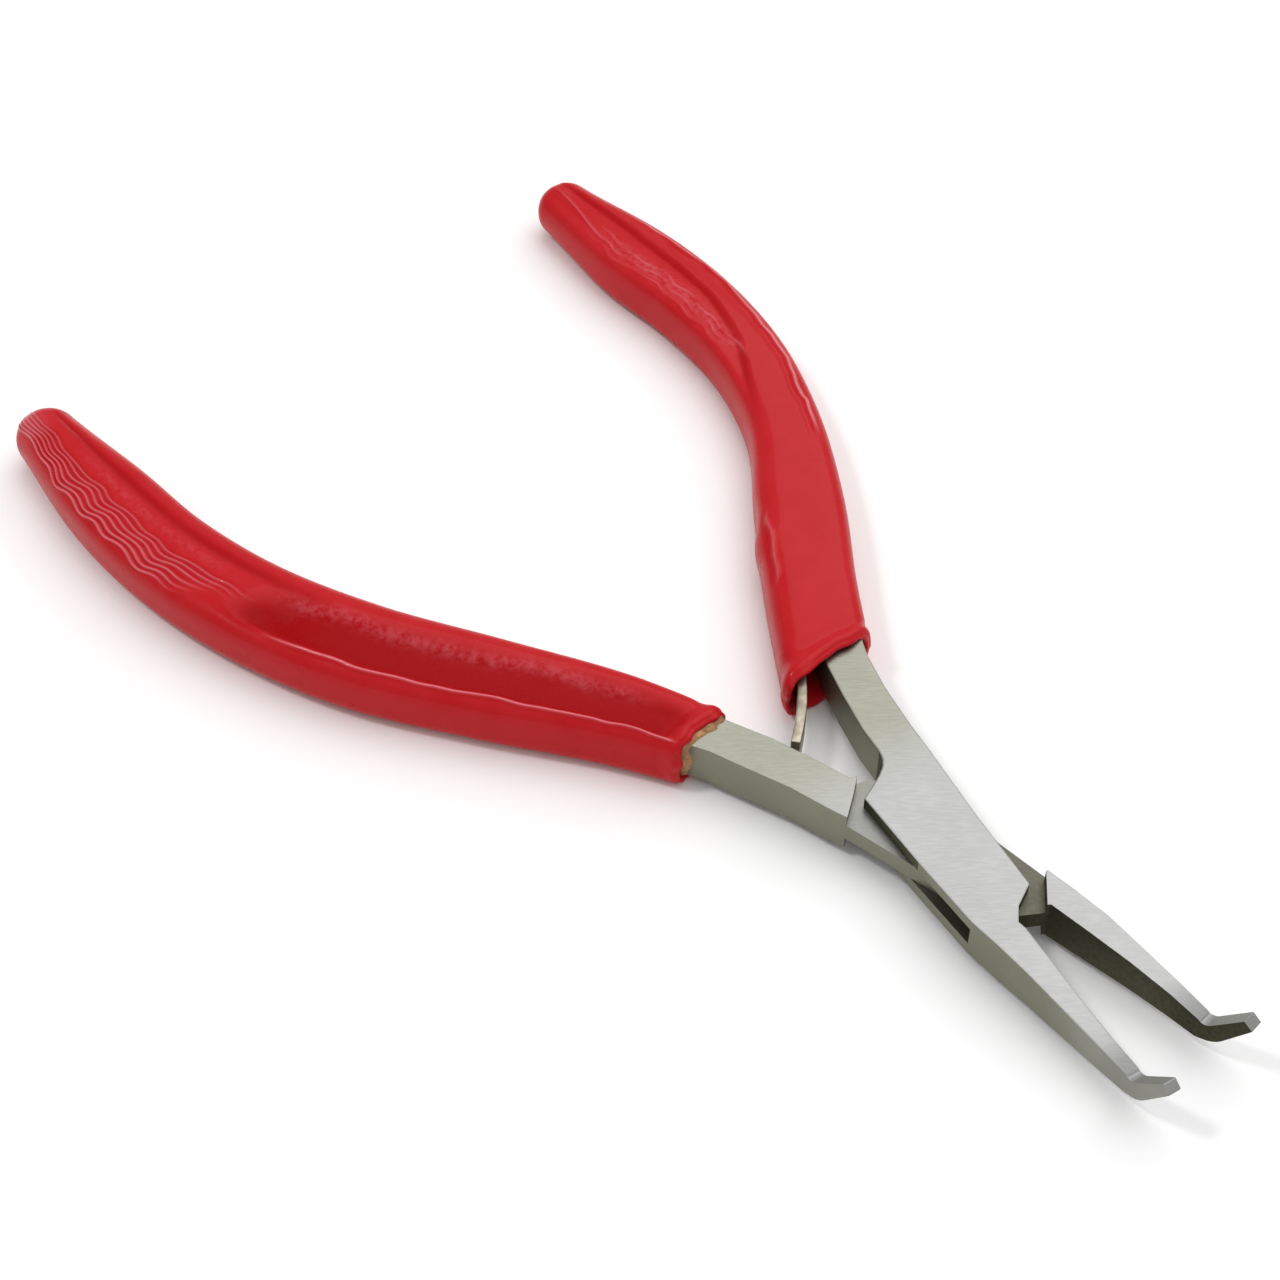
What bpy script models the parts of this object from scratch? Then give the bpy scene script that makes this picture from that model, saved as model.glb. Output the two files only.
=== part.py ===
# Small box-joint pliers with bent-up tips, sleeved handles and one leaf return spring.
# +X points to the jaw tips and +Z up; the pivot axis is the Z axis and the steel's lower face is z = 0.
# Sizes below are in millimetres. Each half is drawn closed, handle on its +Y side, then swung open.
from math import cos, pi, radians, sin, sqrt

import bmesh
import bpy
from mathutils import Vector

MM = 0.001

# Whole tool
HALF_OPEN = radians(7.6)        # each half's swing from closed to rest
THICK = 4.2                     # steel thickness at the joint and the handles
JAW_GAP = 0.05                  # each tip stops this far from the middle line when closed

# Joint
PIN_R = 2.30
BORE_R = 2.36
PIN_SIDES = 40
CHEEK_LOW = 1.25                # thickness of the cheek under the slot
CHEEK_HIGH = 1.05               # thickness of the cheek over it
TONGUE_PLAY = 0.07              # clearance above and below the tongue

# Bent tips
BEND_START = 27.0
BEND_R = 2.0
BEND_ANGLE = radians(55)
TIP_LENGTH = 4.0
TIP_THICK = 1.05                # thickness at the end of a tip
TIP_WIDTH = 1.35

# Handles
SLEEVE_PLAY = 0.25              # sleeve to steel, all round
SLEEVE_LOW = -1.05              # underside of the sleeves, which the tool rests on
SLEEVE_HIGH = 5.40
SLEEVE_CORNER = 2.30
CORNER_STEPS = 4

# Spring
LEAF_THICK = 0.9
LEAF_LOW = 0.5
LEAF_HIGH = 3.7
LEAF_PLAY = 0.12                # leaf to handle steel where it is riveted
RIVET_R = 0.8
RIVET_PLAY = 0.08
RIVET_HEAD_R = 1.5
RIVET_HEAD = 0.5
RIVET_DEPTH = 2.6
RIVET_SIDES = 20
RIVET_ROOM = 0.85               # leaf to the sleeve's inner wall where the rivet's head is
CHAMBER_PLAY = 0.5              # leaf to the sleeve's inner wall

# Middle line of a handle, from the sleeve's mouth to the handle's end
HANDLE_LINE = [(-21.2, 5.1), (-31.5, 9.0), (-42.5, 14.4), (-54.0, 19.6), (-66.0, 23.0),
               (-78.0, 24.0), (-90.0, 22.9), (-102.5, 21.1)]
HANDLE_WIDTH = [4.2, 4.4, 4.8, 5.0, 5.4, 5.8, 5.4, 3.2]

# Half widths of the sleeves along the same line: towards the outside, and towards the other handle
LEFT_SLEEVE = [(3.4, 3.3), (3.8, 4.1), (4.2, 4.9), (4.4, 5.2), (4.4, 5.1), (4.5, 4.8), (4.3, 4.3), (3.3, 3.3)]
RIGHT_SLEEVE = [(3.1, 6.8), (3.7, 5.7), (4.1, 5.3), (4.3, 4.1), (4.8, 4.4), (5.0, 4.8), (4.8, 4.6), (3.5, 3.5)]
LEFT_MOUTH = (-2.8, -0.8)       # how far each mouth's outer and inner edges reach towards the joint
RIGHT_MOUTH = (-2.9, 2.3)
MOUTH_SKEW_ENDS = 0.2           # where on the handle line the mouth's slant has died out
MOUTH_FALL = 0.25               # how much lower the sleeve's top is at the mouth
MOUTH_FALL_ENDS = 0.12
MOUTH_REACH = 12.0              # how far the cutters for the hollows run out past the mouth
SLEEVE_END = 3.3                # length of the rounded end past the handle line's last point

# Edges of the half with the slot. Each row is a cut across it: edge A and edge B.
# A is the handle's outside, then the box's far side, its front edge and the jaw's gripping face.
# B is the handle's inside, the rounded notch behind the box, its near side and the jaw's outside.
BOX_CUTS = [
    ((-20.5, 7.05), (-21.9, 3.12)),
    ((-16.3, 6.05), (-17.5, 2.06)),
    ((-11.1, 5.28), (-13.0, 1.16)),
    ((-8.2, 4.98), (-10.1, 0.90)),
    ((-7.2, 4.86), (-9.25, 0.62)),
    ((-6.4, 4.76), (-8.55, 0.12)),
    ((-5.7, 4.68), (-7.9, -0.68)),
    ((-4.6, 4.52), (-7.35, -1.55)),
    ((-3.2, 4.34), (-6.25, -3.50)),
    ((0.2, 3.90), (2.1, -3.70)),
    ((8.8, 3.08), (9.5, -3.66)),
    ((10.2, 0.80), (10.8, -3.50)),
    ((11.5, -0.22), (11.6, -3.38)),
    ((12.3, -0.10), (12.8, -3.24)),
]

# The same for the half with the tongue, also with its handle on the +Y side.
TONGUE_CUTS = [
    ((-20.5, 7.05), (-21.9, 3.12)),
    ((-18.8, 6.72), (-17.5, 1.95)),
    ((-12.5, 5.29), (-13.0, 1.20)),
    ((-8.2, 4.75), (-9.4, 0.75)),
    ((-6.7, 4.48), (-8.6, -0.90)),
    ((-4.0, 4.25), (-5.6, -3.55)),
    ((0.2, 3.95), (0.0, -3.45)),
    ((9.1, 3.50), (9.4, -2.95)),
    ((11.9, -0.10), (12.4, -2.80)),
]

# Jaw from its root to the bend: x, outside y, gripping face y, bottom z, top z
JAW_CUTS = [
    (16.0, -2.75, -0.20, 0.02, 3.85),
    (20.0, -2.25, -0.30, 0.05, 3.40),
    (24.0, -1.78, -0.25, 0.10, 2.90),
    (BEND_START, -JAW_GAP - TIP_WIDTH, -JAW_GAP, 0.20, 2.45),
]

# The slot seen from above: everything between its two end walls
SLOT = [(-9.4, -6.0), (9.5, -6.0), (9.5, -3.60), (12.6, 0.30), (12.6, 7.0), (-5.2, 7.0), (-9.4, 0.80)]

# The recess above and below the tongue, between the two shoulders
RECESS = [(9.5, -6.0), (9.5, -2.70), (11.75, 0.20), (11.75, 7.0), (-5.5, 7.0), (-6.7, 4.30),
          (-8.05, 1.80), (-9.7, -0.90), (-9.7, -6.0)]

# Middle line of the leaf from where it leaves the handle steel to its free end
LEAF_FREE = [(-34.0, 7.1), (-28.0, 3.8), (-21.2, 0.05), (-18.0, -2.2), (-15.3, -4.65)]
LEAF_FIXED = (0.35, 0.255)      # stretch of the handle line where the leaf lies on the steel
LEAF_FIXED_CUTS = 4
LEAF_FREE_CUTS = 14
RIVET_AT = 0.315                # the rivet's place on the handle line

# Adhesive along the left sleeve's mouth: across the handle, length past the mouth, and height over the steel
GLUE_ACROSS = (-1.75, 1.85)
GLUE_LENGTH = 0.9
GLUE_HIGH = 0.45
GLUE_PLAY = 0.05
GLUE_MOUTH_PLAY = 0.10

STEEL = ((0.62, 0.62, 0.59, 1.0), 0.33, 1.0)
SPRING_STEEL = ((0.60, 0.57, 0.50, 1.0), 0.30, 1.0)
RED_PVC = ((0.62, 0.02, 0.035, 1.0), 0.28, 0.0)
GLUE = ((0.58, 0.30, 0.10, 1.0), 0.45, 0.0)


def clear_scene():
    for obj in list(bpy.data.objects):
        bpy.data.objects.remove(obj, do_unlink=True)


def make_material(name, look):
    colour, roughness, metallic = look
    material = bpy.data.materials.new(name)
    material.use_nodes = True
    shader = material.node_tree.nodes["Principled BSDF"]
    shader.inputs["Base Color"].default_value = colour
    shader.inputs["Roughness"].default_value = roughness
    shader.inputs["Metallic"].default_value = metallic
    return material


def make_object(name, mesh_builder, look=None, swing=None):
    """An object from a function that fills a bmesh in millimetres."""
    bm = bmesh.new()
    mesh_builder(bm)
    bmesh.ops.scale(bm, vec=(MM, MM, MM), verts=bm.verts)
    bmesh.ops.recalc_face_normals(bm, faces=bm.faces)
    mesh = bpy.data.meshes.new(name)
    bm.to_mesh(mesh)
    bm.free()
    obj = bpy.data.objects.new(name, mesh)
    bpy.context.scene.collection.objects.link(obj)
    if look:
        mesh.materials.append(make_material(name, look))
    else:
        obj.hide_render = True
        obj.display_type = "WIRE"
    obj.parent = swing
    return obj


def smooth_sides(obj):
    obj.data.shade_smooth()
    obj.data.set_sharp_from_angle(angle=radians(40))


def combine(obj, cutter, operation="DIFFERENCE"):
    modifier = obj.modifiers.new(cutter.name, "BOOLEAN")
    modifier.object = cutter
    modifier.operation = operation
    modifier.solver = "EXACT"


def loft(bm, rings):
    """Skin through rings of equal length, with both ends closed."""
    rows = [[bm.verts.new(point) for point in ring] for ring in rings]
    count = len(rows[0])
    for row, following in zip(rows, rows[1:]):
        for i in range(count):
            j = (i + 1) % count
            bm.faces.new((row[i], row[j], following[j], following[i]))
    bm.faces.new(rows[0])
    bm.faces.new(rows[-1])


def prism(bm, outline, low, high):
    loft(bm, [[(x, y, z) for x, y in outline] for z in (low, high)])


def rod(bm, base, axis, radius, length, sides):
    """A round bar from base along axis."""
    along = Vector(axis).normalized()
    across = along.cross((0, 0, 1)) if abs(along.z) < 0.9 else Vector((1, 0, 0))
    across.normalize()
    up = along.cross(across)
    rings = []
    for distance in (0, length):
        centre = Vector(base) + along * distance
        rings.append([centre + radius * (across * cos(a) + up * sin(a))
                      for a in (2 * pi * i / sides for i in range(sides))])
    loft(bm, rings)


def spline(values, t):
    """Catmull-Rom curve through equally weighted values, at t from 0 to 1."""
    spans = len(values) - 1
    place = min(max(t, 0.0), 1.0) * spans
    i = min(int(place), spans - 1)
    u = place - i
    p1, p2 = Vector(values[i]), Vector(values[i + 1])
    p0 = Vector(values[i - 1]) if i > 0 else p1 * 2 - p2
    p3 = Vector(values[i + 2]) if i + 2 <= spans else p2 * 2 - p1
    return 0.5 * (2 * p1 + (p2 - p0) * u + (2 * p0 - 5 * p1 + 4 * p2 - p3) * u * u
                  + (3 * p1 - p0 - 3 * p2 + p3) * u ** 3)


def handle_frame(t):
    """Middle point of the handle and the unit vector towards its outside, at t from mouth to end."""
    step = 0.004
    ahead = spline(HANDLE_LINE, t + step) - spline(HANDLE_LINE, t - step)
    ahead.normalize()
    return spline(HANDLE_LINE, t), Vector((-ahead.y, ahead.x)) * (1 if ahead.x > 0 else -1)


def handle_half_width(t):
    return spline([(width, 0) for width in HANDLE_WIDTH], t).x / 2


def handle_cuts(extra, first=0.05, last=1.0, count=16):
    """Cuts across the handle steel, widened by extra on both sides, from the end to the mouth."""
    cuts = []
    for i in range(count):
        t = last + (first - last) * i / (count - 1)
        centre, outward = handle_frame(t)
        reach = outward * (handle_half_width(t) + extra)
        cuts.append((centre + reach, centre - reach))
    return cuts


def box_ring(a, b, low, high):
    return [(a[0], a[1], low), (b[0], b[1], low), (b[0], b[1], high), (a[0], a[1], high)]


def bent_tip_rings():
    """Cross sections of the tip round its bend and along its straight end."""
    y_out, y_in, low, high = JAW_CUTS[-1][1:]
    root_thick = high - low
    path = [(BEND_ANGLE * i / 5, 0.0) for i in range(1, 6)] + [(BEND_ANGLE, TIP_LENGTH)]
    whole = BEND_R * BEND_ANGLE + TIP_LENGTH
    rings = []
    for angle, run in path:
        x = BEND_START + BEND_R * sin(angle) + run * cos(angle)
        z = (low + high) / 2 + BEND_R * (1 - cos(angle)) + run * sin(angle)
        done = (BEND_R * angle + run) / whole
        half = (root_thick + (TIP_THICK - root_thick) * sqrt(done)) / 2
        dx, dz = half * sin(angle), half * cos(angle)
        rings.append([(x + dx, y_in, z - dz), (x + dx, y_out, z - dz),
                      (x - dx, y_out, z + dz), (x - dx, y_in, z + dz)])
    return rings


def half_rings(cuts):
    """A whole half from the handle's end to the tip."""
    rings = [box_ring(a, b, 0.0, THICK) for a, b in handle_cuts(0.0)]
    rings += [box_ring(a, b, 0.0, THICK) for a, b in cuts]
    rings += [box_ring((x, y_in), (x, y_out), low, high) for x, y_out, y_in, low, high in JAW_CUTS]
    return rings + bent_tip_rings()


def mirrored(rings):
    return [[(x, -y, z) for x, y, z in reversed(ring)] for ring in rings]


def sleeve_ring(out_end, in_end, low, high, corner):
    """Rounded rectangle standing on the line from in_end to out_end."""
    centre = (out_end + in_end) / 2
    outward = (out_end - in_end).normalized()
    half = (out_end - in_end).length / 2
    corner = min(corner, (high - low) / 2.05, half * 2 / 2.05)
    corners = [(half - corner, high - corner, 0), (corner - half, high - corner, 1),
               (corner - half, low + corner, 2), (half - corner, low + corner, 3)]
    ring = []
    for side, z, quarter in corners:
        for k in range(CORNER_STEPS + 1):
            a = (quarter + k / CORNER_STEPS) * pi / 2
            spot = centre + outward * (side + corner * cos(a))
            ring.append((spot.x, spot.y, z + corner * sin(a)))
    return ring


def sleeve_rings(widths, mouth, count=24):
    """Outer skin of a sleeve. mouth moves its mouth's outer and inner edges towards the joint."""
    rings = []
    for i in range(count):
        t = i / (count - 1)
        centre, outward = handle_frame(t)
        out_half, in_half = spline(widths, t)
        skew = max(0.0, 1 - t / MOUTH_SKEW_ENDS) ** 1.5
        ahead = Vector((outward.y, -outward.x))
        out_end = centre + outward * out_half + ahead * skew * mouth[0]
        in_end = centre - outward * in_half + ahead * skew * mouth[1]
        fall = MOUTH_FALL * max(0.0, 1 - t / MOUTH_FALL_ENDS)
        rings.append(sleeve_ring(out_end, in_end, SLEEVE_LOW, SLEEVE_HIGH - fall, SLEEVE_CORNER))
    centre, outward = handle_frame(1.0)
    along = Vector((-outward.y, outward.x))
    middle = (SLEEVE_LOW + SLEEVE_HIGH) / 2
    tall = (SLEEVE_HIGH - SLEEVE_LOW) / 2
    for a in (25, 45, 62, 76, 86):
        shrink = cos(radians(a))
        spot = centre + along * SLEEVE_END * sin(radians(a))
        half = outward * widths[-1][0] * shrink
        rings.append(sleeve_ring(spot + half, spot - half, middle - tall * shrink ** 0.5,
                                 middle + tall * shrink ** 0.5, SLEEVE_CORNER))
    return rings


def cavity_rings():
    """The space for the handle steel inside a sleeve, open past the mouth."""
    low, high = -SLEEVE_PLAY, THICK + SLEEVE_PLAY
    rings = [box_ring(a, b, low, high) for a, b in handle_cuts(SLEEVE_PLAY, first=0.0, last=1.0)]
    a, b = handle_cuts(SLEEVE_PLAY, first=0.0, count=2)[0]
    centre, outward = handle_frame(1.0)
    end = Vector((-outward.y, outward.x)) * SLEEVE_PLAY
    rings[0] = box_ring(a + end, b + end, low, high)
    centre, outward = handle_frame(0.0)
    ahead = Vector((outward.y, -outward.x)) * MOUTH_REACH
    reach = outward * (handle_half_width(0.0) + SLEEVE_PLAY)
    rings.append(box_ring(centre + reach + ahead, centre - reach + ahead, low, high))
    return rings


def leaf_line():
    """Middle line of the leaf, riveted stretch first."""
    start, stop = LEAF_FIXED
    points = []
    for i in range(LEAF_FIXED_CUTS):
        t = start + (stop - start) * i / (LEAF_FIXED_CUTS - 1)
        centre, outward = handle_frame(t)
        points.append(centre - outward * (handle_half_width(t) + LEAF_PLAY + LEAF_THICK / 2))
    free = [Vector(point) for point in LEAF_FREE]
    ends = [points[-1]] + free
    curve = [spline(ends, i / LEAF_FREE_CUTS) for i in range(1, LEAF_FREE_CUTS + 1)]
    return points + curve


def leaf_rings():
    line = leaf_line()
    rings = []
    for i, point in enumerate(line):
        ahead = line[min(i + 1, len(line) - 1)] - line[max(i - 1, 0)]
        ahead.normalize()
        side = Vector((-ahead.y, ahead.x)) * LEAF_THICK / 2
        rings.append(box_ring(point + side, point - side, LEAF_LOW, LEAF_HIGH))
    return rings


def chamber_outline():
    """The hollow beside the handle steel that holds the leaf, its rivet and the leaf's travel."""
    line = leaf_line()
    near = []
    for i in range(13):
        ahead = (line[min(i + 1, len(line) - 1)] - line[max(i - 1, 0)]).normalized()
        inward = Vector((ahead.y, -ahead.x))
        inward = inward if inward.y < 0 else -inward
        room = RIVET_ROOM if i < LEAF_FIXED_CUTS else CHAMBER_PLAY
        near.append(line[i] + inward * (LEAF_THICK / 2 + room))
    far = [handle_frame(t)[0] for t in (0.0, 0.08, 0.16, 0.24, LEAF_FIXED[0] + 0.015)]
    past = near[-1] + (near[-1] - near[-2]).normalized() * MOUTH_REACH
    joint_side = far[0] + Vector((MOUTH_REACH, -3.0))
    return [tuple(p) for p in near + [past, joint_side] + far]


def rivet_pose():
    centre, outward = handle_frame(RIVET_AT)
    face = centre - outward * handle_half_width(RIVET_AT)
    height = (LEAF_LOW + LEAF_HIGH) / 2
    return Vector((face.x, face.y, height)), Vector((outward.x, outward.y, 0.0))


def make_box_half(swing):
    half = make_object("box_half", lambda bm: loft(bm, half_rings(BOX_CUTS)), STEEL, swing)
    slot = make_object("slot_cutter", lambda bm: prism(bm, SLOT, CHEEK_LOW, THICK - CHEEK_HIGH), swing=swing)
    bore = make_object("box_bore_cutter",
                       lambda bm: rod(bm, (0, 0, -1), (0, 0, 1), BORE_R, THICK + 2, PIN_SIDES), swing=swing)
    face, into = rivet_pose()
    hole = make_object("rivet_hole_cutter",
                       lambda bm: rod(bm, face - into, into, RIVET_R + RIVET_PLAY,
                                      RIVET_DEPTH + RIVET_PLAY + 1, RIVET_SIDES), swing=swing)
    for cutter in (slot, bore, hole):
        combine(half, cutter)
    smooth_sides(half)


def make_tongue_half(swing):
    half = make_object("tongue_half", lambda bm: loft(bm, mirrored(half_rings(TONGUE_CUTS))), STEEL, swing)
    outline = [(x, -y) for x, y in reversed(RECESS)]
    low = CHEEK_LOW + TONGUE_PLAY
    high = THICK - CHEEK_HIGH - TONGUE_PLAY
    over = make_object("upper_recess_cutter", lambda bm: prism(bm, outline, high, THICK + 1), swing=swing)
    under = make_object("lower_recess_cutter", lambda bm: prism(bm, outline, -1, low), swing=swing)
    bore = make_object("tongue_bore_cutter",
                       lambda bm: rod(bm, (0, 0, -1), (0, 0, 1), BORE_R, THICK + 2, PIN_SIDES), swing=swing)
    for cutter in (over, under, bore):
        combine(half, cutter)
    smooth_sides(half)


def make_pin(swing):
    pin = make_object("pivot_pin", lambda bm: rod(bm, (0, 0, 0), (0, 0, 1), PIN_R, THICK, PIN_SIDES),
                      STEEL, swing)
    smooth_sides(pin)


def make_right_grip(swing):
    grip = make_object("right_grip", lambda bm: loft(bm, sleeve_rings(RIGHT_SLEEVE, RIGHT_MOUTH)),
                       RED_PVC, swing)
    cavity = make_object("right_cavity_cutter", lambda bm: loft(bm, cavity_rings()), swing=swing)
    chamber = make_object("spring_chamber_cutter",
                          lambda bm: prism(bm, chamber_outline(), -SLEEVE_PLAY, THICK + SLEEVE_PLAY),
                          swing=swing)
    combine(grip, cavity)
    combine(grip, chamber)
    smooth_sides(grip)


def make_left_grip(swing):
    grip = make_object("left_grip", lambda bm: loft(bm, mirrored(sleeve_rings(LEFT_SLEEVE, LEFT_MOUTH))),
                       RED_PVC, swing)
    cavity = make_object("left_cavity_cutter", lambda bm: loft(bm, mirrored(cavity_rings())), swing=swing)
    combine(grip, cavity)
    smooth_sides(grip)


def make_spring(swing):
    leaf = make_object("return_spring", lambda bm: loft(bm, leaf_rings()), SPRING_STEEL, swing)
    face, into = rivet_pose()
    hole = make_object("leaf_hole_cutter",
                       lambda bm: rod(bm, face - into * 3, into, RIVET_R + RIVET_PLAY, 3.5, RIVET_SIDES),
                       swing=swing)
    combine(leaf, hole)
    smooth_sides(leaf)


def make_rivet(swing):
    """Shank into the handle steel and a flat head over the leaf, as one turned profile."""
    face, into = rivet_pose()
    under_head = LEAF_PLAY + LEAF_THICK + LEAF_PLAY
    start = face - into * (under_head + RIVET_HEAD)
    across = Vector((0, 0, 1))
    side = into.cross(across)
    profile = [(0, RIVET_HEAD_R), (RIVET_HEAD, RIVET_HEAD_R), (RIVET_HEAD, RIVET_R),
               (RIVET_HEAD + under_head + RIVET_DEPTH, RIVET_R)]

    def build(bm):
        rings = []
        for distance, radius in profile:
            centre = start + into * distance
            rings.append([centre + radius * (across * cos(a) + side * sin(a))
                          for a in (2 * pi * i / RIVET_SIDES for i in range(RIVET_SIDES))])
        loft(bm, rings)

    rivet = make_object("spring_rivet", build, SPRING_STEEL, swing)
    smooth_sides(rivet)


def make_glue(swing):
    """A low ridge of adhesive on the steel, along the left sleeve's slanting mouth."""
    centre, outward = handle_frame(0.0)
    ahead = Vector((outward.y, -outward.x))
    low = THICK + GLUE_PLAY
    start, stop = GLUE_ACROSS
    mouth_out, mouth_in = LEFT_MOUTH
    out, back = LEFT_SLEEVE[0]
    rings = []
    for i in range(7):
        f = i / 6
        side = start + (stop - start) * f
        swell = 0.55 + 0.45 * sin(pi * f)
        mouth = mouth_in + (mouth_out - mouth_in) * (side + back) / (out + back) + GLUE_MOUTH_PLAY
        ring = []
        for along, height in ((0.0, 0.0), (1.0, 0.0), (0.85, 0.6), (0.45, 1.0), (0.1, 0.7)):
            spot = centre + outward * side + ahead * (mouth + GLUE_LENGTH * along * swell)
            ring.append((spot.x, spot.y, low + GLUE_HIGH * height * swell))
        rings.append(ring)
    glue = make_object("left_glue", lambda bm: loft(bm, mirrored(rings)), GLUE, swing)
    smooth_sides(glue)


def make_swing(name, angle):
    """An empty on the pivot axis that carries one half, turned from closed to rest."""
    empty = bpy.data.objects.new(name, None)
    bpy.context.scene.collection.objects.link(empty)
    empty.rotation_euler = (0, 0, angle)
    return empty


def main():
    clear_scene()
    box_swing = make_swing("box_swing", -HALF_OPEN)
    tongue_swing = make_swing("tongue_swing", HALF_OPEN)
    make_box_half(box_swing)
    make_pin(box_swing)
    make_right_grip(box_swing)
    make_spring(box_swing)
    make_rivet(box_swing)
    make_tongue_half(tongue_swing)
    make_left_grip(tongue_swing)
    make_glue(tongue_swing)


main()
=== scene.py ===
from math import cos, pi, radians, sin

import bmesh
import bpy
import numpy as np
from mathutils import Matrix, Vector


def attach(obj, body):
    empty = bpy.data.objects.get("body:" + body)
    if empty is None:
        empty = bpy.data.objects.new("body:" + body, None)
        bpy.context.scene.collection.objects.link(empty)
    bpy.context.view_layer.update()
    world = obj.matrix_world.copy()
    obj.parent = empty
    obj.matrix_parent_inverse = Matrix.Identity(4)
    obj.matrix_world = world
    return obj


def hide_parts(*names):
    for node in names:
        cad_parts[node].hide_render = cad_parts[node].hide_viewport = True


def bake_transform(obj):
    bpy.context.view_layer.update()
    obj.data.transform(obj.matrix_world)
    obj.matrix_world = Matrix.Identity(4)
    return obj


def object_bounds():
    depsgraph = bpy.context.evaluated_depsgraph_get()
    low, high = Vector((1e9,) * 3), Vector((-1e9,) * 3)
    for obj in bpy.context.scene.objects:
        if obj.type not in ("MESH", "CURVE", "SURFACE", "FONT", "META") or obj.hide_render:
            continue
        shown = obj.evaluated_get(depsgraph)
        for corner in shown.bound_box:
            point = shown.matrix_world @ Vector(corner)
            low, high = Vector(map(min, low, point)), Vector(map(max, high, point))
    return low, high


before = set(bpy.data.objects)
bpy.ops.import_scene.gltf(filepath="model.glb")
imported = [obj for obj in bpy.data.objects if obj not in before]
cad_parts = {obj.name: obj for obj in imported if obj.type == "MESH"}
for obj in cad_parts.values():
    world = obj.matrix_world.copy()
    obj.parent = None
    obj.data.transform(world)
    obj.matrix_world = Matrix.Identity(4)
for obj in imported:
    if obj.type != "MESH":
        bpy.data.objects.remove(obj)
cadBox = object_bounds()
mm = 0.001
bpy.context.scene.view_settings.view_transform = "Standard"
print("frame loaded")

# camera first, then the sky, the lights and the floor
shot = {
    "place": (0.0754, -0.0935, 0.1456),
    "toward": (-0.5509, 0.4399, -0.7093),
    "lens": 59.06,
    "sensor": 36,
    "nearest": 0.005,
}
studio = {
    "floorSize": 3.0,
    "floorColour": (0.98, 0.98, 0.98, 1),
    "floorRoughness": 0.8,
    "floorSpecular": 0.1,
    "skyColour": (1.0, 1.0, 1.0, 1),
    "skyStrength": 0.42,
    "lights": [                       # name, place, size and power
        ("keyLight", (-0.12, 0.42, 0.75), 1.20, 5.2),
        ("fillLight", (0.45, -0.10, 0.70), 0.60, 0.8),
        ("stripLight", (-0.32, -0.42, 0.80), 0.16, 1.9),
    ],
}


def makeCamera():
    data = bpy.data.cameras.new("camera")
    data.sensor_width = shot["sensor"]
    data.lens = shot["lens"]
    data.clip_start = shot["nearest"]
    camera = bpy.data.objects.new("camera", data)
    camera.location = shot["place"]
    camera.rotation_euler = Vector(shot["toward"]).to_track_quat("-Z", "Y").to_euler()
    bpy.context.scene.collection.objects.link(camera)
    bpy.context.scene.camera = camera


def makeSoftLight(name, place, size, power):
    data = bpy.data.lights.new(name, "AREA")
    data.shape = "DISK"
    data.size = size
    data.energy = power
    light = bpy.data.objects.new(name, data)
    light.location = place
    light.rotation_euler = (-Vector(place)).to_track_quat("-Z", "Y").to_euler()
    bpy.context.scene.collection.objects.link(light)


def makeFloor():
    half = studio["floorSize"] / 2
    low = cadBox[0][2]
    corners = [(x * half, y * half, low) for x, y in ((-1, -1), (1, -1), (1, 1), (-1, 1))]
    mesh = bpy.data.meshes.new("floor")
    mesh.from_pydata(corners, [], [(0, 1, 2, 3)])
    floor = bpy.data.objects.new("floor", mesh)
    bpy.context.scene.collection.objects.link(floor)
    material = bpy.data.materials.new("paleFloor")
    material.use_nodes = True
    shader = material.node_tree.nodes["Principled BSDF"]
    shader.inputs["Base Color"].default_value = studio["floorColour"]
    shader.inputs["Roughness"].default_value = studio["floorRoughness"]
    shader.inputs["Specular IOR Level"].default_value = studio["floorSpecular"]
    mesh.materials.append(material)


def makeStudio():
    world = bpy.data.worlds.new("paleRoom")
    world.use_nodes = True
    sky = world.node_tree.nodes["Background"]
    sky.inputs["Color"].default_value = studio["skyColour"]
    sky.inputs["Strength"].default_value = studio["skyStrength"]
    bpy.context.scene.world = world
    for name, place, size, power in studio["lights"]:
        makeSoftLight(name, place, size, power)
    makeFloor()


makeCamera()
makeStudio()
print("camera and studio made")


# shader node groups that several materials share
def newGroup(name, inputs, outputs):
    group = bpy.data.node_groups.new(name, "ShaderNodeTree")
    for label, kind, value in inputs:
        socket = group.interface.new_socket(name=label, in_out="INPUT", socket_type=kind)
        socket.default_value = value
    for label, kind in outputs:
        group.interface.new_socket(name=label, in_out="OUTPUT", socket_type=kind)
    return group, group.nodes.new("NodeGroupInput"), group.nodes.new("NodeGroupOutput")


def addNode(tree, kind, values=None, links=None, **settings):
    node = tree.nodes.new(kind)
    for key, value in settings.items():
        setattr(node, key, value)
    for key, value in (values or {}).items():
        node.inputs[key].default_value = value
    for key, source in (links or {}).items():
        tree.links.new(source, node.inputs[key])
    return node


def addMath(tree, operation, first, second=None, clamp=False):
    node = tree.nodes.new("ShaderNodeMath")
    node.operation = operation
    node.use_clamp = clamp
    for i, term in enumerate((first, second)):
        if term is None:
            continue
        if isinstance(term, (int, float)):
            node.inputs[i].default_value = term
        else:
            tree.links.new(term, node.inputs[i])
    return node.outputs[0]


def plus(tree, first, second, clamp=False):
    return addMath(tree, "ADD", first, second, clamp)


def times(tree, first, second, clamp=False):
    return addMath(tree, "MULTIPLY", first, second, clamp)


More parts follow.
